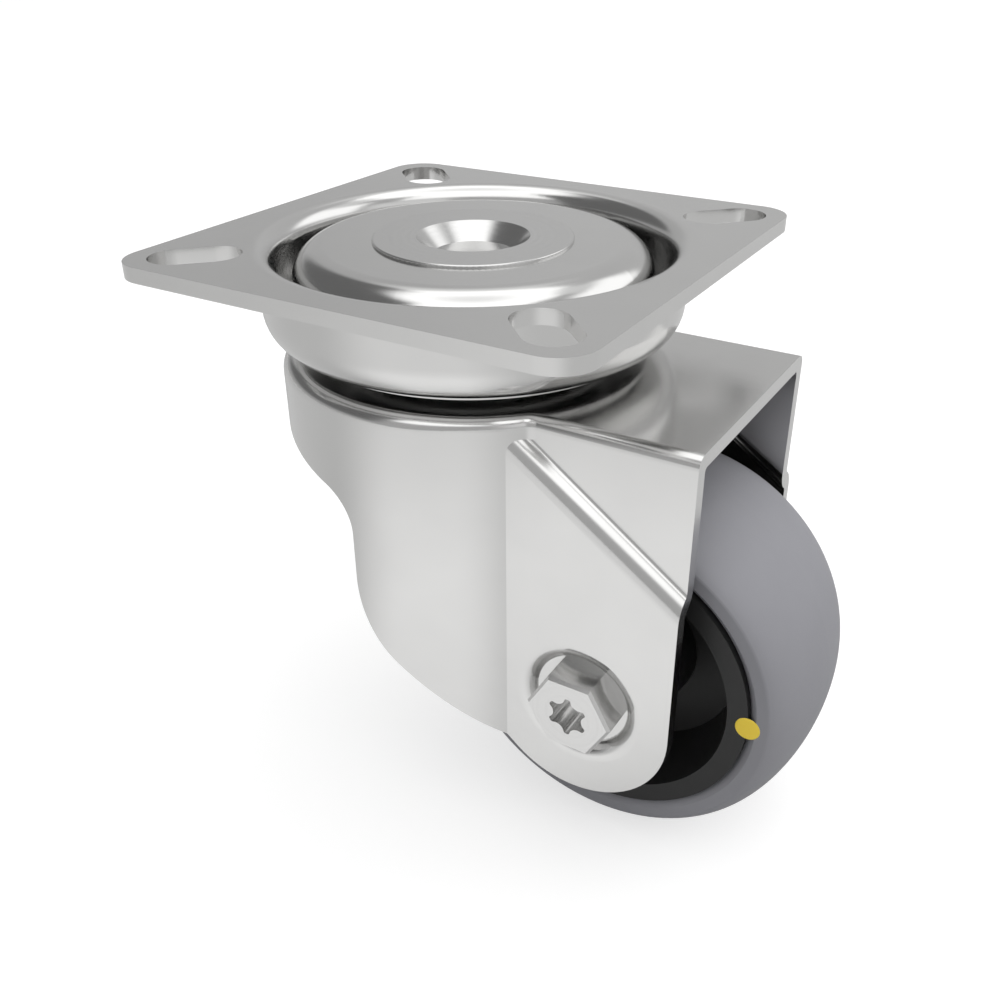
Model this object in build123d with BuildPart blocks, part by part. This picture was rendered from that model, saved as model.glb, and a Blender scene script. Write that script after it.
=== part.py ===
from build123d import *
from math import cos, hypot, radians, sin, sqrt, tan
import os

# Swivel plate caster with a 50 mm wheel.
# Frame: origin on the swivel axis in the mounting face of the plate, +Z up,
# +X towards the trailing wheel, wheel axle along Y. Millimetres.

os.makedirs("parts", exist_ok=True)

# Fits and clearances
running_fit = 0.05
race_play = 0.06
press_gap = 0.0
pin_clearance = 0.8

# Top plate
plate_side = 60.0
plate_sheet = 1.8
plate_corner = 4.5
slot_count = 4
slot_width = 6.2
slot_edge_margin = 2.68
dish_radius = 24.0
dish_land = 3.18
dish_depth = 9.75
dish_mouth_bend = 2.4
dish_floor_bend = 2.7
mouth_land = 0.2
seat_ring_inset = 2.4
seat_ring_width = 2.0
seat_ring_depth = 0.5
riser_radius = 16.4
riser_bend = 1.5

# Balls
ball_diameter = 3.2
upper_ball_count = 14
upper_race_radius = 11.6
lower_ball_count = 20
lower_race_radius = 10.9
coined_depth = 0.35

# Swivel cap
cap_edge_gap = 2.0
cap_drop = 0.4
cap_sheet = 1.5
cap_shoulder = 4.0
cap_height = 7.2

# King pin
pin_flange_radius = 12.2
pin_flange_sheet = 0.35
pin_mouth_radius = 6.9
pin_mouth_depth = 2.15
pin_mouth_floor_radius = 4.95
pin_neck_radius = 7.4
pin_body_radius = 8.2
pin_tail_radius = 6.2
pin_rivet_radius = 8.4
pin_rivet_height = 1.4

# Fork
fork_top_drop = 13.4
fork_sheet = 1.8
fork_front_radius = 24.1
fork_rear = 37.0
fork_upper_width = 33.0
fork_lower_width = 36.8
fork_top_bend = 1.4
fork_inner_bend = 0.5
fork_crease_bend = 1.5
boss_radius = 13.0
boss_inner_bend = 0.1
boss_land = 0.1
joggle_rear_drop = 17.7
joggle_angle = 35.5
joggle_bend = 1.6
joggle_slope = 66.5
lip_front_drop = 7.4
lip_slope = 13.5
lip_corner = 5.5
throat_x = -2.3
sweep_angle = 38.7
sweep_corner = 14.0
leg_end_radius = 12.2
leg_end_rise = 0.75
dimple_floor_radius = 5.9
dimple_depth = 1.5
dimple_bend = 1.2
dimple_slope = 60.0
dimple_land = 0.3

# Wheel
trail = 25.3
axle_drop = 48.5
wheel_radius = 24.6
wheel_width = 24.0
crown_drop = 3.3
crown_half_width = 12.2
tyre_edge_round = 0.5
tyre_wall = 5.8
rim_wall = 2.5
rim_draft = 1.8
rim_round = 0.8
web_thickness = 6.0
hub_radius = 8.9
hub_end_radius = 8.1
hub_side_play = 0.35
key_width = 6.0
key_height = 1.2

# Axle
bolt_diameter = 6.0
hex_across_flats = 9.6
head_height = 4.0
head_chamfer = 0.35
socket_radius = 2.6
socket_root_radius = 1.85
socket_lobe_radius = 0.28
socket_valley_radius = 1.1
socket_depth = 2.2
lobe_count = 6
leg_hole_gap = 0.2
sleeve_radius = 4.6
nut_height = 4.4
nut_collar_radius = 4.5
nut_collar_height = 1.8
insert_height = 1.4
insert_radius = 3.9
bolt_end_past_nut = 1.6
bolt_tip_chamfer = 0.6
thread_gap = 0.02

# Sizes worked out from those above
ball_radius = ball_diameter / 2
groove_radius = ball_radius + race_play
slot_inner = dish_radius + dish_land
slot_outer = plate_side / sqrt(2) - plate_corner * (sqrt(2) - 1) - slot_edge_margin
slot_travel = slot_outer - slot_inner - slot_width
slot_middle = (slot_inner + slot_outer) / 2
mouth_radius = dish_radius + dish_mouth_bend
strip_reach = mouth_radius + mouth_land
dish_floor = -dish_depth
fork_top = -fork_top_drop
cap_radius = dish_radius - cap_edge_gap
cap_top = -cap_drop
cap_under = cap_top - cap_sheet
upper_race_z = cap_under + coined_depth - groove_radius
platform_top = upper_race_z - groove_radius + coined_depth
platform_under = platform_top - plate_sheet
lower_race_z = platform_under + coined_depth - groove_radius
boss_top = lower_race_z - groove_radius + coined_depth
boss_under = boss_top - fork_sheet
axle_z = -axle_drop
half_upper = fork_upper_width / 2
half_lower = fork_lower_width / 2
dimple_floor_y = half_lower - dimple_depth
dimple_back_y = dimple_floor_y - fork_sheet
leg_end_z = axle_z - leg_end_rise
rim_radius = wheel_radius - tyre_wall
rim_mouth_radius = rim_radius - rim_wall
rim_floor_radius = rim_mouth_radius - rim_draft
bolt_radius = bolt_diameter / 2


def unit(start, end):
    """Return the unit vector from one 2-D point to another."""
    run = (end[0] - start[0], end[1] - start[1])
    length = hypot(*run)
    return (run[0] / length, run[1] / length)


def offset_side(path, bends, shift):
    """Add one side of a bent strip to the open BuildLine; return its two ends.

    Args:
        path: centreline corner points.
        bends: centreline bend radius at each inner corner.
        shift: distance of this side from the centreline, positive to the left.
    """
    first = unit(path[0], path[1])
    here = (path[0][0] - first[1] * shift, path[0][1] + first[0] * shift)
    begin = here
    for before, corner, after, bend in zip(path, path[1:], path[2:], bends):
        into = unit(before, corner)
        out = unit(corner, after)
        turn = into[0] * out[1] - into[1] * out[0]
        cosine = into[0] * out[0] + into[1] * out[1]
        half_tangent = abs(turn) / (1 + cosine)
        side = 1 if turn > 0 else -1
        radius = bend - side * shift
        start = (corner[0] - into[0] * bend * half_tangent, corner[1] - into[1] * bend * half_tangent)
        centre = (start[0] - side * into[1] * bend, start[1] + side * into[0] * bend)
        arc_start = (centre[0] + side * into[1] * radius, centre[1] - side * into[0] * radius)
        arc_end = (centre[0] + side * out[1] * radius, centre[1] - side * out[0] * radius)
        middle = unit((0, 0), (side * (into[1] + out[1]), -side * (into[0] + out[0])))
        arc_middle = (centre[0] + middle[0] * radius, centre[1] + middle[1] * radius)
        Line(here, arc_start)
        ThreePointArc(arc_start, arc_middle, arc_end)
        here = arc_end
    last = unit(path[-2], path[-1])
    finish = (path[-1][0] - last[1] * shift, path[-1][1] + last[0] * shift)
    Line(here, finish)
    return begin, finish


def bent_strip(path, bends, thickness):
    """Add the closed outline of a bent sheet section to the open BuildLine."""
    left = offset_side(path, bends, thickness / 2)
    right = offset_side(path, bends, -thickness / 2)
    Line(left[0], right[0])
    Line(left[1], right[1])


# Top plate: flat square, drawn dish, raised ring between the two rows of balls
plate_middle = -plate_sheet / 2
wall_middle = dish_radius + plate_sheet / 2
floor_middle = dish_floor - plate_sheet / 2
platform_middle = platform_top - plate_sheet / 2
plate_hole = pin_body_radius + pin_clearance
mouth_middle_bend = dish_mouth_bend - plate_sheet / 2
floor_middle_bend = dish_floor_bend + plate_sheet / 2
dish_path = [
    (strip_reach, plate_middle),
    (wall_middle, plate_middle),
    (wall_middle, floor_middle),
    (riser_radius, floor_middle),
    (riser_radius, platform_middle),
    (plate_hole, platform_middle),
]
dish_bends = [mouth_middle_bend, floor_middle_bend, riser_bend, riser_bend]
seat_ring_radius = dish_radius - seat_ring_inset

with BuildPart() as top_plate:
    with BuildSketch():
        RectangleRounded(plate_side, plate_side, plate_corner)
        Circle(mouth_radius, mode=Mode.SUBTRACT)
        with PolarLocations(slot_middle, slot_count, start_angle=180 / slot_count):
            SlotCenterToCenter(slot_travel, slot_width, mode=Mode.SUBTRACT)
    extrude(amount=-plate_sheet)
    with BuildSketch(Plane.XZ):
        with BuildLine():
            bent_strip(dish_path, dish_bends, plate_sheet)
        make_face()
        with Locations((seat_ring_radius, floor_middle)):
            Rectangle(
                seat_ring_width, plate_sheet / 2 + seat_ring_depth, align=(Align.MAX, Align.MAX)
            )
        with Locations((lower_race_radius, lower_race_z), (upper_race_radius, upper_race_z)):
            Circle(groove_radius, mode=Mode.SUBTRACT)
    revolve(axis=Axis.Z)
top_plate.part.label = "top_plate"

# Swivel cap: dome with a coined upper race
cap_wall_middle = cap_radius - cap_sheet / 2
cap_middle = cap_top - cap_sheet / 2
cap_path = [
    (pin_neck_radius + press_gap, cap_middle),
    (cap_wall_middle, cap_middle),
    (cap_wall_middle, cap_top - cap_height),
]

with BuildPart() as swivel_cap:
    with BuildSketch(Plane.XZ):
        with BuildLine():
            bent_strip(cap_path, [cap_shoulder - cap_sheet / 2], cap_sheet)
        make_face()
        with Locations((upper_race_radius, upper_race_z)):
            Circle(groove_radius, mode=Mode.SUBTRACT)
    revolve(axis=Axis.Z)
swivel_cap.part.label = "swivel_cap"

# King pin: flanged rivet with a tapered recess that joins cap and fork
pin_flange_top = cap_top + pin_flange_sheet
pin_floor = pin_flange_top - pin_mouth_depth
pin_foot = boss_under - pin_rivet_height
with BuildPart() as king_pin:
    with BuildSketch(Plane.XZ):
        with BuildLine():
            Polyline(
                (pin_mouth_radius, pin_flange_top),
                (pin_flange_radius, pin_flange_top),
                (pin_flange_radius, cap_top),
                (pin_neck_radius, cap_top),
                (pin_neck_radius, cap_under),
                (pin_body_radius, cap_under),
                (pin_body_radius, boss_top),
                (pin_tail_radius, boss_top),
                (pin_tail_radius, boss_under),
                (pin_rivet_radius, boss_under),
                (pin_rivet_radius, pin_foot + pin_rivet_height / 2),
                (pin_tail_radius, pin_foot),
                (0, pin_foot),
                (0, pin_floor),
                (pin_mouth_floor_radius, pin_floor),
                close=True,
            )
        make_face()
    revolve(axis=Axis.Z)
king_pin.part.label = "king_pin"

# Fork: outer and inner envelopes of one bent sheet
joggle_run = cos(radians(joggle_angle))
joggle_fall = sin(radians(joggle_angle))
joggle_plane = Plane(
    origin=(fork_rear, 0, fork_top - joggle_rear_drop),
    x_dir=(0, 1, 0),
    z_dir=(joggle_run, 0, -joggle_fall),
)
joggle_step = half_lower - half_upper
step_reach = joggle_step / tan(radians(joggle_slope))
far_reach = 90.0
side_middle_upper = half_upper - fork_sheet / 2
side_middle_lower = half_lower - fork_sheet / 2


def plan_prism(front_radius, half_width, crease_bend, top, top_bend, rear):
    """Return the round front and straight legs of one width, with a bent top edge."""
    with BuildPart() as prism:
        with BuildSketch(Plane.XY.offset(top)) as plan:
            Circle(front_radius)
            Rectangle(rear, 2 * half_width, align=(Align.MIN, Align.CENTER))
            creases = [corner for corner in plan.vertices() if 0 < corner.X < front_radius]
            fillet(creases, crease_bend)
        extrude(amount=-far_reach)
        if top_bend:
            top_edges = prism.edges().group_by(Axis.Z)[-1]
            rims = [edge for edge in top_edges if edge.center().X < rear - fork_sheet]
            fillet(rims, top_bend)
    return prism.part


def joggled_channel(shift):
    """Return the channel between the joggled legs, up to one face of the sheet."""
    path = [
        (side_middle_lower, -far_reach),
        (side_middle_lower, -step_reach / 2),
        (side_middle_upper, step_reach / 2),
        (side_middle_upper, step_reach),
    ]
    with BuildPart() as channel:
        with BuildSketch(joggle_plane):
            with BuildLine():
                lower, upper = offset_side(path, [joggle_bend, joggle_bend], shift)
                Polyline(lower, (0, -far_reach), (0, step_reach), upper)
            make_face()
            mirror(about=Plane.YZ)
        extrude(amount=far_reach, both=True)
    return channel.part


def fork_envelope(depth, top_bend, rear):
    """Return the solid that fills the fork up to a depth below its outer face."""
    front = fork_front_radius - depth
    crease = fork_crease_bend + depth
    top = fork_top - depth
    with BuildPart() as envelope:
        add(plan_prism(front, half_lower - depth, crease, top, 0, rear))
        add(joggled_channel(depth - fork_sheet / 2), mode=Mode.INTERSECT)
        add(plan_prism(front, half_upper - depth, crease, top, top_bend, rear))
    return envelope.part


# Side outline: sloping lip, throat, sweep along the wheel and round leg end
leg_end_x = fork_rear - leg_end_radius
sweep_run = cos(radians(sweep_angle))
sweep_fall = sin(radians(sweep_angle))
sweep_end = (leg_end_x - leg_end_radius * sweep_fall, leg_end_z - leg_end_radius * sweep_run)
sweep_corner_point = (throat_x, sweep_end[1] + (sweep_end[0] - throat_x) * sweep_fall / sweep_run)
lip_front = (-fork_front_radius, fork_top - lip_front_drop)
lip_fall = (throat_x + fork_front_radius) * tan(radians(lip_slope))
lip_corner_point = (throat_x, lip_front[1] - lip_fall)
outline_top = fork_top + fork_sheet

with BuildPart() as side_outline:
    with BuildSketch(Plane.XZ) as outline:
        with BuildLine():
            Polyline(
                sweep_end,
                sweep_corner_point,
                lip_corner_point,
                lip_front,
                (lip_front[0] - fork_sheet, lip_front[1]),
                (lip_front[0] - fork_sheet, outline_top),
                (fork_rear, outline_top),
                (fork_rear, leg_end_z),
            )
            ThreePointArc(sweep_end, (leg_end_x, leg_end_z - leg_end_radius), (fork_rear, leg_end_z))
        make_face()
        fillet(outline.vertices().sort_by_distance(Vertex(*lip_corner_point, 0))[0], lip_corner)
        fillet(outline.vertices().sort_by_distance(Vertex(*sweep_corner_point, 0))[0], sweep_corner)
    extrude(amount=far_reach, both=True)

# Dimples: the sheet is pressed in where the axle bolt clamps
axle_plane = Plane(origin=(trail, 0, axle_z), x_dir=(1, 0, 0), z_dir=(0, 0, 1))
axle_axis = Axis((trail, 0, axle_z), (0, 1, 0))
leg_hole_radius = bolt_radius + leg_hole_gap
dimple_run = dimple_depth / tan(radians(dimple_slope))
dimple_tangent = dimple_bend * tan(radians(dimple_slope) / 2)
dimple_foot = dimple_floor_radius + dimple_tangent
dimple_brow = dimple_foot + dimple_run
dimple_rim = dimple_brow + dimple_tangent + dimple_land
dimple_middle = dimple_floor_y - fork_sheet / 2

# Boss: the crown is pressed up into a seat for the lower balls and the king pin
boss_bend = boss_inner_bend + fork_sheet / 2
boss_reach = boss_radius + boss_bend + boss_land
crown_middle = fork_top - fork_sheet / 2
boss_middle = boss_top - fork_sheet / 2
boss_path = [
    (boss_reach, crown_middle),
    (boss_radius, crown_middle),
    (boss_radius, boss_middle),
    (pin_tail_radius, boss_middle),
]

with BuildPart() as fork:
    add(fork_envelope(0, fork_top_bend, fork_rear))
    add(fork_envelope(fork_sheet, fork_inner_bend, fork_rear + fork_sheet), mode=Mode.SUBTRACT)
    add(side_outline.part, mode=Mode.INTERSECT)
    for side in (1, -1):
        with BuildSketch(axle_plane):
            with Locations((0, side * side_middle_lower)):
                Rectangle(dimple_rim, 2 * fork_sheet, align=(Align.MIN, Align.CENTER))
        revolve(axis=axle_axis, mode=Mode.SUBTRACT)
        with BuildSketch(axle_plane):
            with BuildLine():
                dimple_path = [
                    (dimple_rim, side * side_middle_lower),
                    (dimple_brow, side * side_middle_lower),
                    (dimple_foot, side * dimple_middle),
                    (leg_hole_radius, side * dimple_middle),
                ]
                bent_strip(dimple_path, [dimple_bend, dimple_bend], fork_sheet)
            make_face()
        revolve(axis=axle_axis)
    with Locations((0, 0, crown_middle)):
        Cylinder(boss_reach, 2 * fork_sheet, mode=Mode.SUBTRACT)
    with BuildSketch(Plane.XZ):
        with BuildLine():
            bent_strip(boss_path, [boss_bend, boss_bend], fork_sheet)
        make_face()
        with Locations((lower_race_radius, lower_race_z)):
            Circle(groove_radius, mode=Mode.SUBTRACT)
    revolve(axis=Axis.Z)
fork.part.label = "fork"

# Wheel rim: web, hub and an outer ring with a key that holds the tyre
half_wheel = wheel_width / 2
hub_end_y = dimple_back_y - hub_side_play
rim_bore = sleeve_radius + running_fit

with BuildPart() as wheel_rim:
    with BuildSketch(axle_plane) as rim_section:
        with BuildLine():
            Polyline(
                (rim_bore, 0),
                (rim_bore, hub_end_y),
                (hub_end_radius, hub_end_y),
                (hub_radius, web_thickness / 2),
                (rim_floor_radius, web_thickness / 2),
                (rim_mouth_radius, half_wheel),
                (rim_radius, half_wheel),
                (rim_radius, key_width / 2),
                (rim_radius + key_height, key_width / 2),
                (rim_radius + key_height, 0),
                close=True,
            )
        make_face()
        web_corners = [
            corner
            for corner in rim_section.vertices()
            if hub_radius - running_fit < corner.X - trail < rim_floor_radius + running_fit
        ]
        fillet(web_corners, rim_round)
        mirror(about=Plane.XZ)
    revolve(axis=axle_axis)
wheel_rim.part.label = "wheel_rim"

# Tyre: elliptical crown between two flat shoulders
crown_height = crown_drop / (1 - sqrt(1 - (half_wheel / crown_half_width) ** 2))
crown_centre = wheel_radius - crown_height

with BuildPart() as wheel_tyre:
    with BuildSketch(axle_plane):
        with Locations((crown_centre, 0)):
            Ellipse(crown_height, crown_half_width)
        with Locations((rim_radius, 0)):
            Rectangle(
                wheel_radius - rim_radius,
                wheel_width,
                align=(Align.MIN, Align.CENTER),
                mode=Mode.INTERSECT,
            )
        with Locations((rim_radius, 0)):
            Rectangle(key_height, key_width, align=(Align.MIN, Align.CENTER), mode=Mode.SUBTRACT)
    revolve(axis=axle_axis)
    shoulders = [
        edge
        for edge in wheel_tyre.edges().filter_by(GeomType.CIRCLE)
        if rim_radius + key_height < edge.radius < wheel_radius - tyre_edge_round
        and abs(edge.center().Y) > half_wheel - tyre_edge_round
    ]
    fillet(shoulders, tyre_edge_round)
wheel_tyre.part.label = "wheel_tyre"

# Axle sleeve: the tube clamped between the dimples
with BuildPart() as axle_sleeve:
    with BuildSketch(axle_plane):
        with Locations((leg_hole_radius, 0)):
            Rectangle(
                sleeve_radius - leg_hole_radius, 2 * dimple_back_y, align=(Align.MIN, Align.CENTER)
            )
    revolve(axis=axle_axis)
axle_sleeve.part.label = "axle_sleeve"

# Axle bolt: hex head with a six-lobe socket
head_plane = Plane(origin=(trail, -dimple_floor_y, axle_z), x_dir=(1, 0, 0), z_dir=(0, -1, 0))
bolt_end_y = dimple_floor_y + nut_height + nut_collar_height + bolt_end_past_nut
bolt_length = dimple_floor_y + bolt_end_y
valley_orbit = socket_valley_radius + socket_root_radius

with BuildPart() as axle_bolt:
    with BuildSketch(head_plane):
        RegularPolygon(hex_across_flats / 2, 6, major_radius=False)
    extrude(amount=head_height)
    chamfer(axle_bolt.faces().sort_by(Axis.Y)[0].edges(), head_chamfer)
    with BuildSketch(head_plane):
        Circle(bolt_radius)
    extrude(amount=-bolt_length)
    chamfer(axle_bolt.faces().sort_by(Axis.Y)[-1].edges(), bolt_tip_chamfer)
    with BuildSketch(head_plane.offset(head_height)) as socket:
        Circle(socket_radius)
        with PolarLocations(valley_orbit, lobe_count):
            Circle(socket_valley_radius, mode=Mode.SUBTRACT)
        fillet(socket.vertices(), socket_lobe_radius)
    extrude(amount=-socket_depth, mode=Mode.SUBTRACT)
axle_bolt.part.label = "axle_bolt"

# Lock nut and its polymer ring
nut_plane = Plane(origin=(trail, dimple_floor_y, axle_z), x_dir=(1, 0, 0), z_dir=(0, 1, 0))
nut_top = nut_height + nut_collar_height

with BuildPart() as axle_nut:
    with BuildSketch(nut_plane):
        RegularPolygon(hex_across_flats / 2, 6, major_radius=False)
    extrude(amount=nut_height)
    chamfer(axle_nut.faces().sort_by(Axis.Y)[-1].edges(), head_chamfer)
    with BuildSketch(nut_plane):
        Circle(nut_collar_radius)
    extrude(amount=nut_top)
    with BuildSketch(nut_plane):
        Circle(bolt_radius + thread_gap)
    extrude(amount=nut_top, mode=Mode.SUBTRACT)
    with BuildSketch(nut_plane.offset(nut_top)):
        Circle(insert_radius)
    extrude(amount=-insert_height, mode=Mode.SUBTRACT)
axle_nut.part.label = "axle_nut"

with BuildPart() as nut_insert:
    with BuildSketch(nut_plane.offset(nut_top - insert_height)):
        Circle(insert_radius)
        Circle(bolt_radius + thread_gap, mode=Mode.SUBTRACT)
    extrude(amount=insert_height)
nut_insert.part.label = "nut_insert"


def ball_parts(name, count, radius, height):
    """Return the labelled balls of one race."""
    balls = []
    for index, place in enumerate(PolarLocations(radius, count)):
        with BuildPart() as ball:
            with Locations(Location((0, 0, height)) * place):
                Sphere(ball_radius)
        ball.part.label = f"{name}_{index + 1:02d}"
        balls.append(ball.part)
    return balls


pieces = [
    top_plate.part,
    swivel_cap.part,
    king_pin.part,
    fork.part,
    wheel_rim.part,
    wheel_tyre.part,
    axle_sleeve.part,
    axle_bolt.part,
    axle_nut.part,
    nut_insert.part,
]
pieces += ball_parts("upper_ball", upper_ball_count, upper_race_radius, upper_race_z)
pieces += ball_parts("lower_ball", lower_ball_count, lower_race_radius, lower_race_z)
for piece in pieces:
    export_step(piece, f"parts/{piece.label}.step")
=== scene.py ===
"""Looks of a small swivel plate caster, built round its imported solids.

Everything is in metres in the part's own frame: the origin is on the swivel axis in the
mounting face of the plate, +Z is up and +X points towards the trailing wheel.
"""

from __future__ import annotations

import logging
import math
from dataclasses import dataclass
from enum import Enum
from typing import Protocol

import bmesh
import bpy
from mathutils import Matrix, Vector

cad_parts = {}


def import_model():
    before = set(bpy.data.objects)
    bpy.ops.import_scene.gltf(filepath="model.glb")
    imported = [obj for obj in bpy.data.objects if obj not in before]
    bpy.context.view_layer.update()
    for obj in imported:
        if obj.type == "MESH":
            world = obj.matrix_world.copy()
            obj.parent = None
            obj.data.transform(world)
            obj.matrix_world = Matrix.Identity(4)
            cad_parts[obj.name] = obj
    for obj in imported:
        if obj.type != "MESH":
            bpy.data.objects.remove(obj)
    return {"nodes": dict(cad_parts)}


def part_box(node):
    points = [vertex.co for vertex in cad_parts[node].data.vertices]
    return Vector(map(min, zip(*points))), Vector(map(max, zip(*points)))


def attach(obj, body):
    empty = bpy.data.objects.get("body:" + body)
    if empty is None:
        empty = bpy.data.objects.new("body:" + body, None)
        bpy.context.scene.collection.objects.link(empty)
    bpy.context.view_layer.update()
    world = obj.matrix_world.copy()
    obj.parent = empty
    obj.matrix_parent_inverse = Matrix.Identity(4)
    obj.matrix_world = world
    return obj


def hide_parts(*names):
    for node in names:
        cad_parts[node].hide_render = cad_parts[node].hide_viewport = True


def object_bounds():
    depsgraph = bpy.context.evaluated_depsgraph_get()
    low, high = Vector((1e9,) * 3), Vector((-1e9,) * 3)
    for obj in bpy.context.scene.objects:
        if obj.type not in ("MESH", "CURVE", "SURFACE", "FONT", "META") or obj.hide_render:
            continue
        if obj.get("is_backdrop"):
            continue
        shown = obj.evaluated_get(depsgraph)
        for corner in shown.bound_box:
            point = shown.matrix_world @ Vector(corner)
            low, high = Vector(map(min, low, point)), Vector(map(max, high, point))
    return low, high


LOG = logging.getLogger("plate_caster")
MM = 0.001

NOISE_ROUGHNESS = 0.55
NOISE_LOW = 0.3
NOISE_HIGH = 0.7
MIX_COLOUR_INPUTS = (6, 7)
MIX_COLOUR_OUTPUT = 2

Colour = tuple[float, float, float]
Point = tuple[float, float, float]
Span = tuple[float, float]
Move = tuple[Vector, Vector]
Nodes = dict[str, bpy.types.Object]
Socket = bpy.types.NodeSocket
Value = float | Socket


class Turning(Enum):
    """Axis that a lathe left its marks around."""

    SWIVEL = "swivel"
    AXLE = "axle"


class Slot(Enum):
    """Names of three material slots, which nothing in this script reads."""

    PRESSED_STEEL = "pressed_steel"
    TURNED_STEEL = "turned_steel"
    TYRE = "grey_tyre"


class Body(Enum):
    """Bodies that new pieces ride on."""

    SWIVEL = "swivel"
    WHEEL = "wheel"


class Surface:
    """Node graph of one material, with short calls for the nodes that the finishes share."""

    def __init__(self, name: str) -> None:
        """Start a material of that name with an output and nothing else.

        Args:
            name: name of the material.
        """
        self.material = bpy.data.materials.new(name)
        self.material.use_nodes = True
        self.tree = self.material.node_tree
        self.tree.nodes.clear()
        self.output = self.node("ShaderNodeOutputMaterial")

    def node(self, kind: str, **settings: object) -> bpy.types.Node:
        """Add one node.

        Args:
            kind: Blender's name of the node type.
            **settings: properties to set on the node.

        Returns:
            The new node.
        """
        made = self.tree.nodes.new(kind)
        for name, value in settings.items():
            setattr(made, name, value)
        return made

    def link(self, start: Socket, end: Socket) -> None:
        """Join an output socket to an input socket."""
        self.tree.links.new(start, end)

    def put(self, value: object, socket: Socket) -> None:
        """Give an input socket its value.

        Args:
            value: number, colour or vector to set, or output socket to join.
            socket: input socket.
        """
        if isinstance(value, Socket):
            self.link(value, socket)
        else:
            socket.default_value = value

    def fill(self, node: bpy.types.Node, values: dict[str, object]) -> None:
        """Give several input sockets of a node their values.

        Args:
            node: node whose inputs are set.
            values: socket name to number, colour or output socket.
        """
        for name, value in values.items():
            self.put(value, node.inputs[name])

    def place(self) -> Socket:
        """Return the point on the surface in the part's frame, in metres."""
        return self.node("ShaderNodeTexCoord").outputs["Object"]

    def split(self, where: Socket) -> bpy.types.Node:
        """Take a point apart.

        Args:
            where: the point.

        Returns:
            A node with the point's X, Y and Z as outputs.
        """
        parts = self.node("ShaderNodeSeparateXYZ")
        self.link(where, parts.inputs[0])
        return parts

    def maths(self, operation: str, first: Value, second: Value = 0.0) -> Socket:
        """Add a Math node.

        Args:
            operation: Blender's name of the operation.
            first: number or socket.
            second: number or socket.

        Returns:
            The node's output.
        """
        made = self.node("ShaderNodeMath", operation=operation)
        for socket, value in zip(made.inputs, (first, second)):
            self.put(value, socket)
        return made.outputs[0]

    def noise(self, where: Socket, grain: float, detail: float = 3.0) -> Socket:
        """Add noise whose spots are about one grain across.

        Args:
            where: point that the noise is read at.
            grain: size of a spot in metres.
            detail: number of finer layers.

        Returns:
            The noise value, about 0.5 on average.
        """
        made = self.node("ShaderNodeTexNoise")
        values = {"Vector": where, "Scale": 1.0 / grain, "Detail": detail, "Roughness": NOISE_ROUGHNESS}
        self.fill(made, values)
        return made.outputs["Fac"]

    def spread(self, value: Socket, low: float, high: float) -> Socket:
        """Map the useful part of a noise value onto a range.

        Args:
            value: noise value.
            low: result where the noise is low.
            high: result where it is high.

        Returns:
            The mapped value.
        """
        made = self.node("ShaderNodeMapRange")
        self.fill(made, {"Value": value, "From Min": NOISE_LOW, "From Max": NOISE_HIGH})
        self.fill(made, {"To Min": low, "To Max": high})
        return made.outputs["Result"]

    def blend(self, share: Socket, first: Colour, second: Colour) -> Socket:
        """Mix two colours.

        Args:
            share: share of the second colour.
            first: colour at share 0.
            second: colour at share 1.

        Returns:
            The mixed colour.
        """
        made = self.node("ShaderNodeMix", data_type="RGBA")
        self.link(share, made.inputs["Factor"])
        for index, colour in zip(MIX_COLOUR_INPUTS, (first, second)):
            made.inputs[index].default_value = (*colour, 1.0)
        return made.outputs[MIX_COLOUR_OUTPUT]

    def edge(self, value: Socket, start: float, end: float) -> Socket:
        """Turn a value into a mask with one soft edge.

        Args:
            value: value to compare.
            start: value where the mask is 0.
            end: value where the mask is 1.

        Returns:
            The mask, with a smooth step between start and end.
        """
        made = self.node("ShaderNodeMapRange", interpolation_type="SMOOTHSTEP")
        self.fill(made, {"Value": value, "From Min": start, "From Max": end})
        return made.outputs["Result"]

    def bearing(self, parts: bpy.types.Node, azimuth: float) -> Socket:
        """Measure how far round the swivel axis a point lies from an azimuth.

        Args:
            parts: node with the point's X, Y and Z.
            azimuth: direction from the axis in degrees.

        Returns:
            The angle between the two in degrees, from 0 to 180.
        """
        turn = math.radians(azimuth)
        x, y = parts.outputs["X"], parts.outputs["Y"]
        ahead = self.maths(
            "ADD", self.maths("MULTIPLY", x, math.cos(turn)), self.maths("MULTIPLY", y, math.sin(turn))
        )
        aside = self.maths(
            "SUBTRACT", self.maths("MULTIPLY", y, math.cos(turn)), self.maths("MULTIPLY", x, math.sin(turn))
        )
        return self.maths("ABSOLUTE", self.maths("DEGREES", self.maths("ARCTAN2", aside, ahead)))

    def bump(self, *layers: tuple[Socket, float]) -> Socket:
        """Stack bump layers.

        Args:
            *layers: pairs of a height value and its full height in metres.

        Returns:
            The bumped normal.
        """
        normal = None
        for height, depth in layers:
            made = self.node("ShaderNodeBump")
            self.fill(made, {"Height": height, "Distance": depth, "Strength": 1.0})
            if normal is not None:
                self.link(normal, made.inputs["Normal"])
            normal = made.outputs["Normal"]
        return normal

    def finish(self, **values: object) -> bpy.types.Material:
        """Close the graph with a Principled shader.

        Args:
            **values: socket names, with _ for a space, and their values.

        Returns:
            The material.
        """
        shader = self.node("ShaderNodeBsdfPrincipled")
        self.fill(shader, {name.replace("_", " "): value for name, value in values.items()})
        self.link(shader.outputs[0], self.output.inputs["Surface"])
        return self.material


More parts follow.
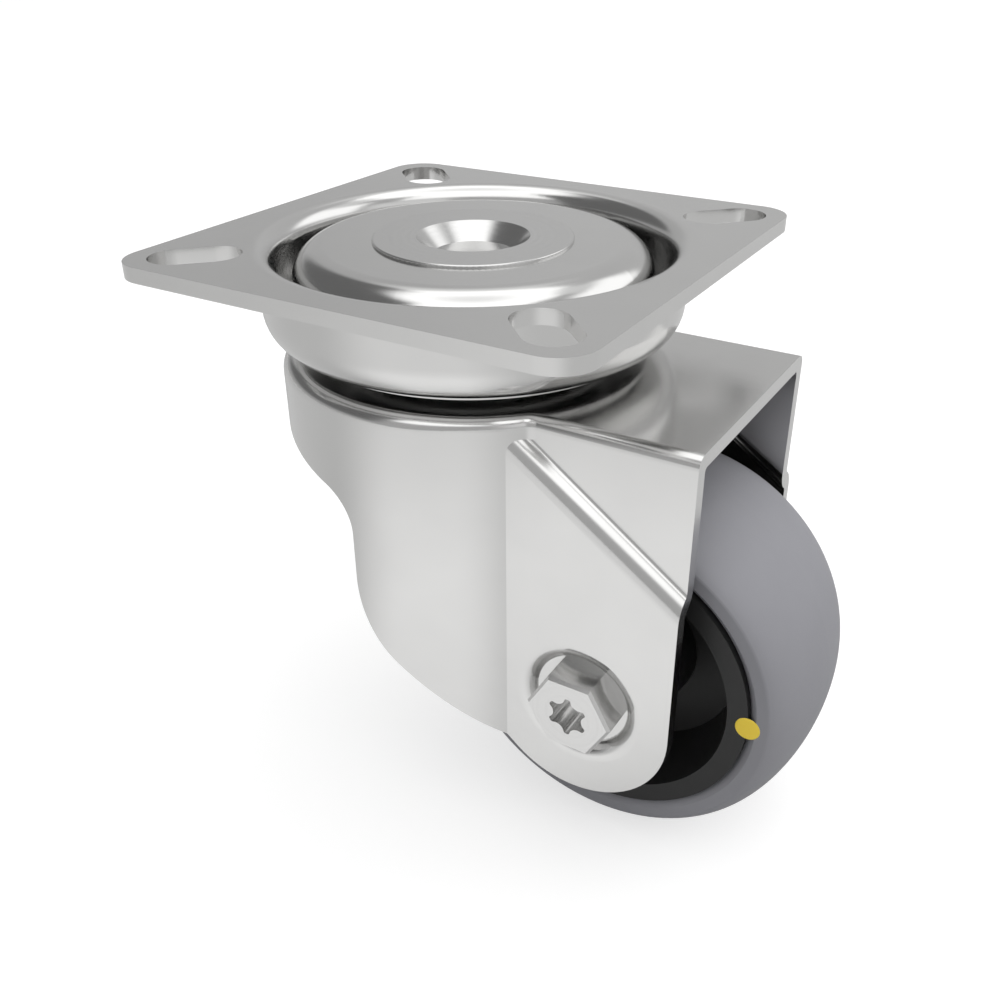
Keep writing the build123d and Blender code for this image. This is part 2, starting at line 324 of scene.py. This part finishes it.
@dataclass(frozen=True)
class SatinSheet:
    """Pickled stainless sheet: soft reflections, faint clouds, a slow ripple and fine rolled grain."""

    name: str = "satin_stainless_sheet"
    light: Colour = (0.665, 0.663, 0.655)
    dark: Colour = (0.625, 0.623, 0.617)
    smooth: float = 0.15
    rough: float = 0.20
    cloud: float = 9.0 * MM
    wave: float = 11.0 * MM
    wave_height: float = 0.03 * MM
    grain: float = 0.16 * MM
    grain_height: float = 0.0006 * MM

    def make(self) -> bpy.types.Material:
        """Build the material.

        Returns:
            The material.
        """
        surface = Surface(self.name)
        where = surface.place()
        cloud = surface.noise(where, self.cloud)
        wave = surface.noise(where, self.wave, detail=0.0)
        grain = surface.noise(where, self.grain, detail=2.0)
        return surface.finish(
            Base_Color=surface.blend(cloud, self.light, self.dark),
            Metallic=1.0,
            Roughness=surface.spread(cloud, self.smooth, self.rough),
            Normal=surface.bump((wave, self.wave_height), (grain, self.grain_height)),
        )


@dataclass(frozen=True)
class TurnedSteel:
    """Machined stainless with fine tool marks around its axis."""

    name: str
    turning: Turning
    centre: Point = (0.0, 0.0, 0.0)
    light: Colour = (0.665, 0.663, 0.657)
    dark: Colour = (0.60, 0.598, 0.592)
    smooth: float = 0.17
    rough: float = 0.27
    mark: float = 0.09 * MM
    mark_height: float = 0.0008 * MM

    def make(self) -> bpy.types.Material:
        """Build the material.

        Returns:
            The material.
        """
        surface = Surface(self.name)
        shift = surface.node("ShaderNodeVectorMath", operation="SUBTRACT")
        surface.put(surface.place(), shift.inputs[0])
        surface.put(self.centre, shift.inputs[1])
        parts = surface.split(shift.outputs[0])
        across = "Y" if self.turning is Turning.SWIVEL else "Z"
        along = "Z" if self.turning is Turning.SWIVEL else "Y"
        radius = surface.maths(
            "SQRT",
            surface.maths(
                "ADD",
                surface.maths("MULTIPLY", parts.outputs["X"], parts.outputs["X"]),
                surface.maths("MULTIPLY", parts.outputs[across], parts.outputs[across]),
            ),
        )
        ring = surface.node("ShaderNodeCombineXYZ")
        surface.fill(ring, {"X": radius, "Y": parts.outputs[along]})
        marks = surface.noise(ring.outputs[0], self.mark, detail=1.0)
        return surface.finish(
            Base_Color=surface.blend(marks, self.light, self.dark),
            Metallic=1.0,
            Roughness=surface.spread(marks, self.smooth, self.rough),
            Normal=surface.bump((marks, self.mark_height)),
        )


@dataclass(frozen=True)
class BallSteel:
    """Hardened, polished ball steel with a thin film of grease."""

    name: str = "polished_ball_steel"
    light: Colour = (0.72, 0.72, 0.71)
    dark: Colour = (0.58, 0.57, 0.54)
    smooth: float = 0.06
    rough: float = 0.16
    film: float = 1.2 * MM

    def make(self) -> bpy.types.Material:
        """Build the material.

        Returns:
            The material.
        """
        surface = Surface(self.name)
        film = surface.noise(surface.place(), self.film)
        return surface.finish(
            Base_Color=surface.blend(film, self.light, self.dark),
            Metallic=1.0,
            Roughness=surface.spread(film, self.smooth, self.rough),
        )


@dataclass(frozen=True)
class MouldedPlastic:
    """Moulded plastic or elastomer with a fine matt texture."""

    name: str
    light: Colour
    dark: Colour
    smooth: float
    rough: float
    gloss: float
    cloud: float = 4.0 * MM
    grain: float = 0.12 * MM
    grain_height: float = 0.004 * MM

    def make(self) -> bpy.types.Material:
        """Build the material.

        Returns:
            The material.
        """
        surface = Surface(self.name)
        where = surface.place()
        cloud = surface.noise(where, self.cloud)
        grain = surface.noise(where, self.grain, detail=2.0)
        return surface.finish(
            Base_Color=surface.blend(cloud, self.light, self.dark),
            Roughness=surface.spread(grain, self.smooth, self.rough),
            Specular_IOR_Level=self.gloss,
            Normal=surface.bump((grain, self.grain_height)),
        )


@dataclass(frozen=True)
class PaintSpot:
    """Opaque marking paint, slightly glossy."""

    name: str = "yellow_marking_paint"
    light: Colour = (1.0, 0.76, 0.085)
    dark: Colour = (0.98, 0.71, 0.075)
    smooth: float = 0.38
    rough: float = 0.5
    gloss: float = 0.3
    ripple: float = 0.5 * MM
    ripple_height: float = 0.004 * MM

    def make(self) -> bpy.types.Material:
        """Build the material.

        Returns:
            The material.
        """
        surface = Surface(self.name)
        ripple = surface.noise(surface.place(), self.ripple)
        return surface.finish(
            Base_Color=surface.blend(ripple, self.light, self.dark),
            Roughness=surface.spread(ripple, self.smooth, self.rough),
            Specular_IOR_Level=self.gloss,
            Normal=surface.bump((ripple, self.ripple_height)),
        )


def dress(nodes: Nodes, names: list[str], material: bpy.types.Material) -> None:
    """Give CAD nodes one material.

    Args:
        nodes: the frame's nodes by name.
        names: nodes to dress.
        material: material that all their slots take.
    """
    for name in names:
        piece = nodes[name]
        for slot in piece.material_slots:
            slot.material = material
        LOG.info("%s wears %s", name, material.name)


def smooth_faces(mesh: bpy.types.Mesh) -> None:
    """Shade all faces of a mesh smooth."""
    for polygon in mesh.polygons:
        polygon.use_smooth = True


def middle_of(name: str) -> Vector:
    """Return the middle of a CAD node's box."""
    low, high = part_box(name)
    return (Vector(low) + Vector(high)) / 2.0


def new_piece(
    name: str, mesh: bpy.types.Mesh, material: bpy.types.Material, body: Body
) -> bpy.types.Object:
    """Put a new mesh into the scene.

    Args:
        name: object name.
        mesh: its mesh, in the part's frame.
        material: its finish.
        body: body that it rides on.

    Returns:
        The object.
    """
    piece = bpy.data.objects.new(name, mesh)
    mesh.materials.append(material)
    bpy.context.scene.collection.objects.link(piece)
    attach(piece, body.value)
    LOG.info("%s rides on %s", name, body.value)
    return piece


class FineRule(Protocol):
    """Rule that gives part of a mesh the finer forms of the real piece."""

    def near(self, point: Vector) -> bool:
        """Tell whether the mesh has to be fine at a point."""

    def shape(self, point: Vector) -> Move | None:
        """Return a point's new place and the direction it faces, or None where it stays."""


@dataclass(frozen=True)
class RoundedRim:
    """Quarter round in place of the sharp upper rim of a disc or crown round the swivel axis.

    Attributes:
        radius: radius of the rim.
        height: height of its upper face.
        bend: radius of the quarter round.
        last_x: X beyond which the mesh stays as it is.
        fade: distance before the last X over which the bend changes.
        last_bend: bend at the last X.
        zone: width of the finer mesh inside the rim and below it, as a share of the bend.
        slack: how far outside the quarter round a point may lie without being moved.
    """

    radius: float
    height: float
    bend: float
    last_x: float = math.inf
    fade: float = MM
    last_bend: float = 0.0
    zone: float = 1.2
    slack: float = 0.0001 * MM

    def bend_at(self, point: Vector) -> float:
        """Return the bend at a point: it changes to the last bend over the fade before the last X."""
        share = min(max((self.last_x - point.x) / self.fade, 0.0), 1.0)
        return self.last_bend + (self.bend - self.last_bend) * share * share * (3.0 - 2.0 * share)

    def near(self, point: Vector) -> bool:
        """Tell whether the mesh has to be fine at a point."""
        outward = math.hypot(point.x, point.y) - self.radius
        return point.x < self.last_x and min(outward, point.z - self.height) > -self.zone * self.bend

    def shape(self, point: Vector) -> Move | None:
        """Move a point that stands proud of the quarter round onto it.

        Args:
            point: point of the mesh.

        Returns:
            Its new place and the direction it faces, or None where it stays.
        """
        if not self.near(point):
            return None
        bend = self.bend_at(point)
        round_axis = Vector((point.x, point.y, 0.0)).normalized()
        middle = round_axis * (self.radius - bend) + Vector((0.0, 0.0, self.height - bend))
        offset = point - middle
        if min(offset.dot(round_axis), offset.z) <= 0.0 or offset.length <= bend + self.slack:
            return None
        facing = offset.normalized()
        return middle + facing * bend, facing


@dataclass(frozen=True)
class CutThread:
    """Thread on the end of a bolt that lies along Y, with its end chamfer.

    Attributes:
        centre: point on the bolt's axis.
        start: Y where the thread starts.
        end: Y of the bolt's end.
        radius: outer radius of the thread.
        pitch: distance from crest to crest.
        depth: depth of the groove.
        chamfer: chamfer on the bolt's end.
        crest: share of the pitch that is flat at the crest.
        root: share of the pitch that is flat at the root.
        margin: how far below the new surface a point may lie and still be moved.
    """

    centre: Vector
    start: float
    end: float
    radius: float = 3.0 * MM
    pitch: float = 1.0 * MM
    depth: float = 0.54 * MM
    chamfer: float = 0.6 * MM
    crest: float = 0.125
    root: float = 0.25
    margin: float = 0.1 * MM

    def near(self, point: Vector) -> bool:
        """Tell whether the mesh has to be fine at a point."""
        across = math.hypot(point.x - self.centre.x, point.z - self.centre.z)
        return point.y > self.start and across > self.radius - self.chamfer - self.margin

    def shape(self, point: Vector) -> Move | None:
        """Move a point of the plain shank onto the thread or the end chamfer.

        Args:
            point: point of the mesh.

        Returns:
            Its new place and the direction it faces, or None where it stays.
        """
        if not self.near(point):
            return None
        across = Vector((point.x - self.centre.x, 0.0, point.z - self.centre.z))
        turn = math.atan2(across.z, across.x) / (2.0 * math.pi)
        phase = (point.y / self.pitch + turn) % 1.0
        sloping = 1.0 - self.crest - self.root
        flank = (abs(2.0 * phase - 1.0) - self.crest) / sloping
        reach = self.radius - self.depth * min(max(flank, 0.0), 1.0)
        tip = self.radius - max(point.y - (self.end - self.chamfer), 0.0)
        target = min(reach, tip)
        if across.length < target - self.margin:
            return None
        slope = 0.0
        if target == tip and tip < self.radius:
            slope = 1.0
        elif 0.0 < flank < 1.0:
            slope = math.copysign(2.0 * self.depth / (self.pitch * sloping), phase - 0.5)
        outward = across.normalized()
        place = self.centre + outward * target
        return Vector((place.x, point.y, place.z)), (outward + Vector((0.0, slope, 0.0))).normalized()


class FinerForm:
    """Copy of a CAD node's mesh that is divided finer and reshaped where the real piece needs it."""

    layer: str = "facing"
    most_passes: int = 12

    def __init__(self, node: bpy.types.Object) -> None:
        """Copy the mesh with the directions that its corners face.

        Args:
            node: object of the CAD node.
        """
        source = node.data
        self.form = bmesh.new()
        self.form.from_mesh(source)
        self.facing = self.form.loops.layers.float_vector.new(self.layer)
        for polygon, face in zip(source.polygons, self.form.faces):
            for index, loop in zip(polygon.loop_indices, face.loops):
                loop[self.facing] = source.corner_normals[index].vector

    def rework(self, rule: FineRule, step: float) -> None:
        """Divide the mesh where the rule asks for it and move its points there.

        Args:
            rule: rule for the zone and the new places.
            step: longest edge in the zone.
        """
        for _ in range(self.most_passes):
            coarse = [
                edge
                for edge in self.form.edges
                if edge.calc_length() > step and any(rule.near(vertex.co) for vertex in edge.verts)
            ]
            if not coarse:
                break
            bmesh.ops.subdivide_edges(self.form, edges=coarse, cuts=1)
            wide = [face for face in self.form.faces if len(face.verts) > 3]
            bmesh.ops.triangulate(self.form, faces=wide)
        for vertex in self.form.verts:
            found = rule.shape(vertex.co)
            if found is None:
                continue
            vertex.co = found[0]
            for loop in vertex.link_loops:
                loop[self.facing] = found[1]

    def mesh(self, name: str) -> bpy.types.Mesh:
        """Close the form.

        Args:
            name: name of the mesh.

        Returns:
            The mesh, smooth, with its corners facing as they were set.
        """
        mesh = bpy.data.meshes.new(name)
        self.form.to_mesh(mesh)
        self.form.free()
        smooth_faces(mesh)
        facings = [tuple(corner.vector) for corner in mesh.attributes[self.layer].data]
        mesh.attributes.remove(mesh.attributes[self.layer])
        mesh.normals_split_custom_set(facings)
        return mesh


def finer_piece(
    node: bpy.types.Object, rule: FineRule, step: float, name: str, material: bpy.types.Material
) -> bpy.types.Object:
    """Build a piece on the swivel from a CAD node's mesh, with a rule's finer forms.

    Args:
        node: object of the CAD node.
        rule: rule for the finer forms.
        step: longest edge in the rule's zone.
        name: name of the piece and its mesh.
        material: its finish.

    Returns:
        The object.
    """
    form = FinerForm(node)
    form.rework(rule, step)
    return new_piece(name, form.mesh(name), material, Body.SWIVEL)


@dataclass
class MountingPlate:
    """Slotted top plate with the drawn dish."""

    nodes: Nodes
    finish: SatinSheet = SatinSheet()

    def build(self) -> None:
        """Dress the plate."""
        dress(self.nodes, ["top_plate"], self.finish.make())


@dataclass
class SwivelHead:
    """Domed cap, riveted king pin and the two rings of balls."""

    nodes: Nodes
    cap_finish: SatinSheet = SatinSheet(name="satin_stainless_cap", smooth=0.14, rough=0.19)
    pin_finish: TurnedSteel = TurnedSteel(name="turned_king_pin", turning=Turning.SWIVEL)
    ball_finish: BallSteel = BallSteel()
    flange_radius: float = 12.2 * MM
    flange_bend: float = 0.22 * MM
    flange_step: float = 0.2 * MM

    def build_pin(self) -> None:
        """Build the pin with the rolled rim of its flange."""
        rim = RoundedRim(self.flange_radius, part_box("king_pin")[1].z, self.flange_bend)
        steel = self.pin_finish.make()
        piece = finer_piece(
            self.nodes["king_pin"], rim, self.flange_step, "king_pin_turned", steel
        )
        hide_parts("king_pin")

    def build(self) -> None:
        """Build the pin and dress the cap and the balls."""
        dress(self.nodes, ["swivel_cap"], self.cap_finish.make())
        self.build_pin()
        balls = [name for name in self.nodes if "_ball_" in name]
        dress(self.nodes, sorted(balls), self.ball_finish.make())


@dataclass
class PressedFork:
    """Fork pressed from one sheet, with the bend that runs round the front of its crown."""

    nodes: Nodes
    finish: SatinSheet = SatinSheet(name="satin_stainless_fork")
    crown: RoundedRim = RoundedRim(
        radius=24.1 * MM,
        height=-13.4 * MM,
        bend=1.85 * MM,
        last_x=14.0 * MM,
        fade=10.0 * MM,
        last_bend=1.4 * MM,
    )
    crown_step: float = 0.4 * MM

    def build(self) -> None:
        """Build the fork with its rounded crown."""
        steel = self.finish.make()
        piece = finer_piece(
            self.nodes["fork"], self.crown, self.crown_step, "fork_pressed", steel
        )
        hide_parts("fork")


@dataclass
class WheelSet:
    """Black rim, moulded-on grey tyre and the painted spot on their joint.

    Attributes:
        nodes: the frame's nodes by name.
        joint_radius: distance from the axle to the middle of the spot.
        spot_radius: radius of the spot.
        spot_height: height of its middle over the wheel's side.
        spot_fullness: power of the sine in its outline, where less gives a flatter top.
        spot_crown: power of the cosine in its outline, where less gives a steeper edge.
        spot_rings: rings of faces from the middle to the edge.
        spot_steps: points on each ring.
        tyre_finish: finish of the tyre.
        rim_finish: finish of the rim.
        spot_finish: finish of the spot.
    """

    nodes: Nodes
    joint_radius: float = 18.85 * MM
    spot_radius: float = 1.5 * MM
    spot_height: float = 0.06 * MM
    spot_fullness: float = 0.6
    spot_crown: float = 0.5
    spot_rings: int = 8
    spot_steps: int = 48
    tyre_finish: MouldedPlastic = MouldedPlastic(
        name="grey_tyre_elastomer",
        light=(0.305, 0.305, 0.329),
        dark=(0.281, 0.281, 0.304),
        smooth=0.52,
        rough=0.66,
        gloss=0.35,
        cloud=6.0 * MM,
    )
    rim_finish: MouldedPlastic = MouldedPlastic(
        name="black_rim_plastic",
        light=(0.024, 0.024, 0.024),
        dark=(0.018, 0.018, 0.018),
        smooth=0.34,
        rough=0.46,
        gloss=0.32,
    )
    spot_finish: PaintSpot = PaintSpot()

    def spot_mesh(self, centre: Vector) -> bpy.types.Mesh:
        """Build a shallow drop of paint on the near side face.

        Args:
            centre: middle of the drop on the face.

        Returns:
            The mesh.
        """
        form = bmesh.new()
        rings = []
        for ring in range(self.spot_rings + 1):
            slope = math.radians(90.0 * ring / self.spot_rings)
            radius = self.spot_radius * math.sin(slope) ** self.spot_fullness
            height = self.spot_height * math.cos(slope) ** self.spot_crown
            if ring == 0:
                rings.append([form.verts.new(centre + Vector((0.0, -height, 0.0)))])
                continue
            loop = []
            for step in range(self.spot_steps):
                turn = 2.0 * math.pi * step / self.spot_steps
                offset = Vector((radius * math.cos(turn), -height, radius * math.sin(turn)))
                loop.append(form.verts.new(centre + offset))
            rings.append(loop)
        for step in range(self.spot_steps):
            after = (step + 1) % self.spot_steps
            form.faces.new((rings[0][0], rings[1][step], rings[1][after]))
            for inner, outer in zip(rings[1:], rings[2:]):
                form.faces.new((inner[step], outer[step], outer[after], inner[after]))
        bmesh.ops.recalc_face_normals(form, faces=form.faces)
        mesh = bpy.data.meshes.new("marking_spot")
        form.to_mesh(mesh)
        form.free()
        smooth_faces(mesh)
        return mesh

    def build(self) -> None:
        """Dress the wheel and paint the spot where rim and tyre meet."""
        dress(self.nodes, ["wheel_tyre"], self.tyre_finish.make())
        dress(self.nodes, ["wheel_rim"], self.rim_finish.make())
        axle = middle_of("wheel_tyre")
        near_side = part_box("wheel_tyre")[0].y
        centre = Vector((axle.x + self.joint_radius, near_side, axle.z))
        new_piece("marking_spot", self.spot_mesh(centre), self.spot_finish.make(), Body.WHEEL)


@dataclass
class AxleSet:
    """Clamped axle bolt, lock nut, its polymer ring and the sleeve in the hub."""

    nodes: Nodes
    hidden_thread: float = 0.6 * MM
    thread_step: float = 0.2 * MM
    insert_finish: MouldedPlastic = MouldedPlastic(
        name="lock_ring_polymer",
        light=(0.62, 0.62, 0.60),
        dark=(0.55, 0.55, 0.53),
        smooth=0.35,
        rough=0.5,
        gloss=0.5,
    )

    def build_bolt(self, centre: Vector, steel: bpy.types.Material) -> None:
        """Build the bolt with the thread that stands out of the nut.

        Args:
            centre: middle of the axle.
            steel: its finish.
        """
        nut_face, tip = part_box("axle_nut")[1].y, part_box("axle_bolt")[1].y
        thread = CutThread(Vector((centre.x, 0.0, centre.z)), nut_face - self.hidden_thread, tip)
        piece = finer_piece(
            self.nodes["axle_bolt"], thread, self.thread_step, "axle_bolt_threaded", steel
        )
        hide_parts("axle_bolt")

    def build(self) -> None:
        """Build the bolt and dress the axle's other pieces."""
        centre = middle_of("axle_sleeve")
        finish = TurnedSteel(name="turned_axle_steel", turning=Turning.AXLE, centre=tuple(centre))
        steel = finish.make()
        self.build_bolt(centre, steel)
        dress(self.nodes, ["axle_nut", "axle_sleeve"], steel)
        dress(self.nodes, ["nut_insert"], self.insert_finish.make())


@dataclass(frozen=True)
class Softbox:
    """Rectangular lamp that faces the part and doesn't show in its reflections.

    Attributes:
        name: name of the lamp.
        azimuth: direction that it hangs in, round the target, in degrees.
        elevation: height over the target in degrees.
        distance: distance from the target.
        width: width of its window.
        depth: depth of its window.
        level: power for each square metre of window, divided by pi.
    """

    name: str
    azimuth: float
    elevation: float
    distance: float
    width: float
    depth: float
    level: float

    def hang(self, target: Vector) -> None:
        """Hang the lamp.

        Args:
            target: point that the lamp faces.
        """
        turn, rise = math.radians(self.azimuth), math.radians(self.elevation)
        away = Vector((math.cos(turn) * math.cos(rise), math.sin(turn) * math.cos(rise), math.sin(rise)))
        lamp = bpy.data.lights.new(self.name, "AREA")
        lamp.shape = "RECTANGLE"
        lamp.size, lamp.size_y = self.width, self.depth
        lamp.energy = self.level * math.pi * self.width * self.depth
        holder = bpy.data.objects.new(self.name, lamp)
        holder.location = target + away * self.distance
        holder.rotation_euler = (-away).to_track_quat("-Z", "Y").to_euler()
        holder.visible_glossy = False
        bpy.context.scene.collection.objects.link(holder)


@dataclass(frozen=True)
class TentPanel:
    """Part of the light tent that is brighter or darker than the cloth under it.

    Attributes:
        azimuth: direction of its middle in degrees.
        half_width: angle from its middle to its sides in degrees.
        low: elevation of its lower edge in degrees.
        high: elevation of its upper edge in degrees.
        level: its brightness.
        soft: half the width of its soft edges in degrees.
    """

    azimuth: float
    half_width: float
    low: float
    high: float
    level: float
    soft: float = 8.0

    def lay(self, surface: Surface, parts: bpy.types.Node, elevation: Socket, below: Value) -> Socket:
        """Lay the panel over what the tent shows so far.

        Args:
            surface: node graph of the tent.
            parts: node with the point's X, Y and Z.
            elevation: height of the point over the horizon in degrees.
            below: brightness of the tent so far.

        Returns:
            The brightness with the panel.
        """
        offset = surface.bearing(parts, self.azimuth)
        inside = surface.edge(offset, self.half_width + self.soft, self.half_width - self.soft)
        over = surface.edge(elevation, self.low - self.soft, self.low + self.soft)
        under = surface.edge(elevation, self.high + self.soft, self.high - self.soft)
        share = surface.maths("MULTIPLY", inside, surface.maths("MULTIPLY", over, under))
        change = surface.maths("MULTIPLY", surface.maths("SUBTRACT", self.level, below), share)
        return surface.maths("ADD", below, change)


@dataclass
class Studio:
    """Paper floor, light tent, lamps, world and camera.

    Attributes:
        floor_height: height of the paper, under the tread.
        paper_glow: how much the paper glows in the picture.
        front_glow: brightness that the metal mirrors from the paper in front.
        foot_glow: what is added to it close to the part.
        side_glow: brightness that the metal mirrors from all paper but the shaded side.
        foot_reach: distances from the frame's origin where the addition is nothing and full.
        front_spread: angles from the front azimuth where its brightness is nothing and full.
        shade_spread: angles from the shade azimuth where the side's brightness is nothing and full.
        world_fill: how bright the world is to matt surfaces, against 1 in the picture and in mirrors.
    """

    floor_height: float
    floor_radius: float = 2.96
    floor_steps: int = 96
    floor_colour: Colour = (0.48, 0.48, 0.48)
    fibre: float = 40.0 * MM
    fibre_shade: float = 0.995
    paper_glow: float = 0.64
    foot_glow: float = 0.20
    foot_reach: Span = (0.17, 0.10)
    front_glow: float = 0.24
    front_azimuth: float = -84.0
    front_spread: Span = (60.0, 16.0)
    side_glow: float = 0.18
    shade_azimuth: float = 128.0
    shade_spread: Span = (15.0, 40.0)
    tent_radius: float = 3.0
    tent_rings: int = 24
    tent_steps: int = 48
    cloth_level: float = 0.515
    # Azimuth, half width, low, high, level and, where it isn't 8, soft
    cloth_panels: tuple[TentPanel, ...] = (
        TentPanel(180.0, 180.0, -30.0, 4.0, 0.46),
        TentPanel(85.0, 42.0, 8.0, 60.0, 0.59),
        TentPanel(125.0, 24.0, 46.0, 70.0, 0.95),
        TentPanel(-15.0, 28.0, 6.0, 34.0, 0.88),
        TentPanel(47.0, 26.0, 14.0, 46.0, 1.5, 6.0),
        TentPanel(-60.0, 52.0, 37.0, 90.0, 1.6, 4.0),
        TentPanel(0.0, 180.0, 57.0, 110.0, 1.7, 3.0),
        TentPanel(0.0, 180.0, 78.0, 110.0, 1.2),
        TentPanel(52.0, 16.0, 48.0, 61.0, 0.85, 4.0),
        TentPanel(-162.0, 47.0, 10.0, 61.0, 0.17, 6.0),
    )
    # Name, azimuth, elevation, distance, width, depth and level
    lamps: tuple[Softbox, ...] = (
        Softbox("overhead_box", -60.0, 80.0, 2.6, 1.8, 1.8, 0.5),
        Softbox("right_box", 40.0, 35.0, 2.6, 1.3, 0.9, 1.3),
    )
    lamp_aim_x: float = 0.01
    world_fill: float = 0.68
    eye: Point = (0.0691835, -0.1063831, 0.0353040)
    aim: Point = (0.0006193, 0.0045611, -0.0387927)
    roll: float = -0.533
    focal_length: float = 38.226
    sensor: float = 36.0
    clip_start: float = 0.01
    clip_radii: float = 4.0

    def stage_object(
        self, name: str, form: bmesh.types.BMesh, material: bpy.types.Material
    ) -> bpy.types.Object:
        """Turn a form into a staged object.

        Args:
            name: object name.
            form: its shape, which is freed here.
            material: its material.

        Returns:
            The object.
        """
        mesh = bpy.data.meshes.new(name)
        form.to_mesh(mesh)
        form.free()
        mesh.materials.append(material)
        made = bpy.data.objects.new(name, mesh)
        bpy.context.scene.collection.objects.link(made)
        made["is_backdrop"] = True
        return made

    def mirrored_floor(self, surface: Surface, place: Socket) -> Socket:
        """Work out how bright the paper is in the metal's reflections.

        Args:
            surface: node graph of the floor.
            place: point on the floor.

        Returns:
            The brightness.
        """
        parts = surface.split(place)
        away = surface.node("ShaderNodeVectorMath", operation="LENGTH")
        surface.link(place, away.inputs[0])
        foot = surface.edge(away.outputs["Value"], *self.foot_reach)
        foot = surface.maths("MULTIPLY", foot, self.foot_glow)
        front = surface.edge(surface.bearing(parts, self.front_azimuth), *self.front_spread)
        front = surface.maths("MULTIPLY", front, surface.maths("ADD", foot, self.front_glow))
        side = surface.edge(surface.bearing(parts, self.shade_azimuth), *self.shade_spread)
        return surface.maths("ADD", front, surface.maths("MULTIPLY", side, self.side_glow))

    def build_floor(self) -> None:
        """Lay the floor under the wheel: matt paper that glows white in the picture."""
        surface = Surface("white_paper_floor")
        place = surface.place()
        paper = surface.node("ShaderNodeBsdfDiffuse")
        fibre = surface.noise(place, self.fibre)
        shaded = tuple(self.fibre_shade * part for part in self.floor_colour)
        surface.link(surface.blend(fibre, self.floor_colour, shaded), paper.inputs["Color"])
        path = surface.node("ShaderNodeLightPath")
        shown = surface.maths("MULTIPLY", path.outputs["Is Camera Ray"], self.paper_glow)
        mirrored = surface.maths("ADD", path.outputs["Is Glossy Ray"], path.outputs["Is Transmission Ray"])
        mirrored = surface.maths("MULTIPLY", mirrored, self.mirrored_floor(surface, place))
        glow = surface.node("ShaderNodeEmission")
        surface.link(surface.maths("ADD", shown, mirrored), glow.inputs["Strength"])
        both = surface.node("ShaderNodeAddShader")
        surface.link(paper.outputs[0], both.inputs[0])
        surface.link(glow.outputs[0], both.inputs[1])
        surface.link(both.outputs[0], surface.output.inputs["Surface"])
        form = bmesh.new()
        bmesh.ops.create_circle(
            form,
            cap_ends=True,
            segments=self.floor_steps,
            radius=self.floor_radius,
            matrix=Matrix.Translation((0.0, 0.0, self.floor_height)),
        )
        self.stage_object("floor", form, surface.material)

    def build_tent(self) -> None:
        """Raise the light tent that the metal mirrors."""
        surface = Surface("tent_cloth")
        parts = surface.split(surface.node("ShaderNodeNewGeometry").outputs["Position"])
        rise = surface.maths("DIVIDE", parts.outputs["Z"], self.tent_radius)
        elevation = surface.maths("DEGREES", surface.maths("ARCSINE", rise))
        level = self.cloth_level
        for panel in self.cloth_panels:
            level = panel.lay(surface, parts, elevation, level)
        glow = surface.node("ShaderNodeEmission")
        surface.put(level, glow.inputs["Strength"])
        surface.link(glow.outputs[0], surface.output.inputs["Surface"])
        surface.material.cycles.emission_sampling = "NONE"
        form = bmesh.new()
        bmesh.ops.create_uvsphere(
            form, u_segments=self.tent_steps, v_segments=self.tent_rings, radius=self.tent_radius
        )
        below = [vertex for vertex in form.verts if vertex.co.z < self.floor_height - MM]
        bmesh.ops.delete(form, geom=below, context="VERTS")
        tent = self.stage_object("light_tent", form, surface.material)
        tent.visible_camera = False

    def build_world(self) -> None:
        """Fill the rest of the room with white, dimmer where it lights matt surfaces."""
        world = bpy.data.worlds.new("white_room")
        bpy.context.scene.world = world
        world.use_nodes = True
        nodes, links = world.node_tree.nodes, world.node_tree.links
        nodes.clear()
        path = nodes.new("ShaderNodeLightPath")
        rays = nodes.new("ShaderNodeMath")
        links.new(path.outputs["Is Camera Ray"], rays.inputs[0])
        links.new(path.outputs["Is Glossy Ray"], rays.inputs[1])
        more = nodes.new("ShaderNodeMath")
        links.new(rays.outputs[0], more.inputs[0])
        links.new(path.outputs["Is Transmission Ray"], more.inputs[1])
        level = nodes.new("ShaderNodeMapRange")
        links.new(more.outputs[0], level.inputs["Value"])
        level.inputs["To Min"].default_value = self.world_fill
        level.inputs["To Max"].default_value = 1.0
        glow = nodes.new("ShaderNodeBackground")
        links.new(level.outputs["Result"], glow.inputs["Strength"])
        glow.inputs["Color"].default_value = (1.0, 1.0, 1.0, 1.0)
        links.new(glow.outputs[0], nodes.new("ShaderNodeOutputWorld").inputs["Surface"])

    def build_camera(self) -> None:
        """Set the camera where the photograph was taken from."""
        lens = bpy.data.cameras.new("photo_camera")
        lens.lens, lens.sensor_width = self.focal_length, self.sensor
        lens.clip_start, lens.clip_end = self.clip_start, self.clip_radii * self.tent_radius
        camera = bpy.data.objects.new("photo_camera", lens)
        look = (Vector(self.aim) - Vector(self.eye)).to_track_quat("-Z", "Y").to_matrix()
        turn = look @ Matrix.Rotation(math.radians(self.roll), 3, "Z")
        camera.matrix_world = Matrix.Translation(self.eye) @ turn.to_4x4()
        bpy.context.scene.collection.objects.link(camera)
        bpy.context.scene.camera = camera

    def build(self) -> None:
        """Set up the room, its light and the camera."""
        self.build_floor()
        self.build_tent()
        self.build_world()
        for lamp in self.lamps:
            lamp.hang(Vector((self.lamp_aim_x, 0.0, self.floor_height / 2.0)))
        self.build_camera()
        bpy.context.scene.view_settings.view_transform = "Standard"
        LOG.info("studio is lit by %d softboxes and a tent", len(self.lamps))


def main() -> None:
    """Build every sub-assembly in order."""
    logging.basicConfig(level=logging.INFO, format="%(name)s: %(message)s")
    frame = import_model()
    nodes = frame["nodes"]
    solid_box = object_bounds()
    MountingPlate(nodes).build()
    SwivelHead(nodes).build()
    PressedFork(nodes).build()
    WheelSet(nodes).build()
    AxleSet(nodes).build()
    Studio(floor_height=solid_box[0].z).build()
    bpy.context.view_layer.update()


if __name__ == "__main__":
    main()
